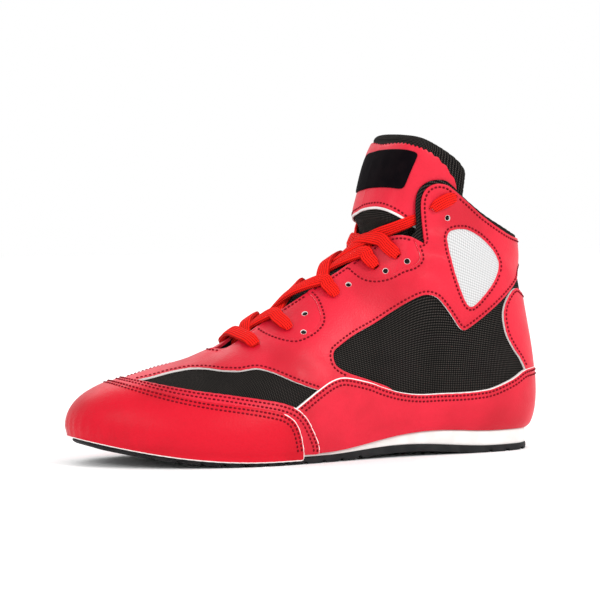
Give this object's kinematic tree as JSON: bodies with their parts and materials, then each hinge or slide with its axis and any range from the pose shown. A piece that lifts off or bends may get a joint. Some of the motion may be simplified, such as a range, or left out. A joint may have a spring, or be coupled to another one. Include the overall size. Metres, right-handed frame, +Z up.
{
  "type": "combat sports shoe",
  "caption": "Mid-top martial arts shoe with a padded tongue, criss-cross lacing, a wrapped toe cap and a thin flexible sole.",
  "frame": {"origin": "on the floor, under the middle of the heel's flat pad", "axes": "+X from heel to toe, +Y to the outer side of the foot, +Z up"},
  "size_m": [0.2779, 0.0994, 0.18],
  "materials": {
    "red_leather": "satin",
    "black_mesh": "fine weave",
    "white_mesh": "open weave",
    "white_foam": "matt",
    "black_rubber": "matt",
    "red_lace": "flat braid",
    "grey_lining": "soft lining"
  },
  "bodies": {
    "root": {"outsole": "black_rubber", "midsole": "white_foam", "insole": "grey_lining", "upper": "black_mesh", "toe_cap": "red_leather", "mudguard": "red_leather", "foxing": "red_leather", "quarter": "red_leather", "heel_counter": "red_leather", "window_mesh_outer": "white_mesh", "window_mesh_inner": "white_mesh", "front_eyestay_outer": "red_leather", "front_eyestay_inner": "red_leather", "rear_eyestay_outer": "red_leather", "rear_eyestay_inner": "red_leather", "tongue": "black_mesh", "lacing": "red_lace"}
  },
  "joints": []
}
